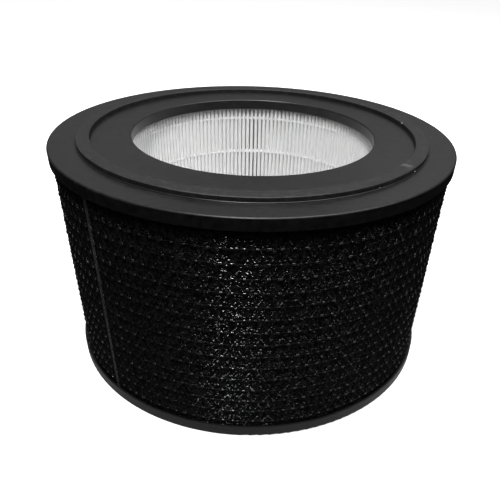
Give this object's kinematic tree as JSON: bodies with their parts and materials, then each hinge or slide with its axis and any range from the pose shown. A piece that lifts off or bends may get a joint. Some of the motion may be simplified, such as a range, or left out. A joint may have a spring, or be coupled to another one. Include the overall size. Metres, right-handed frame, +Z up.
{
  "type": "air purifier filter cartridge",
  "caption": "Round air filter cartridge: pleated white media between black end caps, with an open centre, a top seal and a carbon wrap under netting.",
  "frame": {"origin": "middle of the foot, on the face that the cartridge stands on", "axes": "+Z up the bore, +Y away from the side with the wrap's seam at its left"},
  "size_m": [0.3682, 0.3682, 0.2162],
  "materials": {
    "cap_plastic": "moulded black ABS, satin",
    "gasket_rubber": "black sponge rubber with a fine skin",
    "filter_paper": "white glass-fibre filter paper, matt",
    "potting": "poured polyurethane, satin",
    "hot_melt": "white hot-melt adhesive",
    "carbon_felt": "black activated carbon felt, fibrous",
    "seam_tape": "black woven tape",
    "netting_plastic": "extruded black polyethylene netting, glossy"
  },
  "bodies": {
    "root": {"top_end_cap": "cap_plastic", "bottom_end_cap": "cap_plastic", "sealing_gasket": "gasket_rubber", "pleated_media": "filter_paper", "top_potting": "potting", "bottom_potting": "potting", "inner_glue_beads": "hot_melt", "outer_glue_beads": "hot_melt", "carbon_sleeve": "carbon_felt", "sleeve_seam_strip": "seam_tape", "netting_uprights": "netting_plastic", "netting_right_strands": "netting_plastic", "netting_left_strands": "netting_plastic", "netting_hoops": "netting_plastic"}
  },
  "joints": []
}
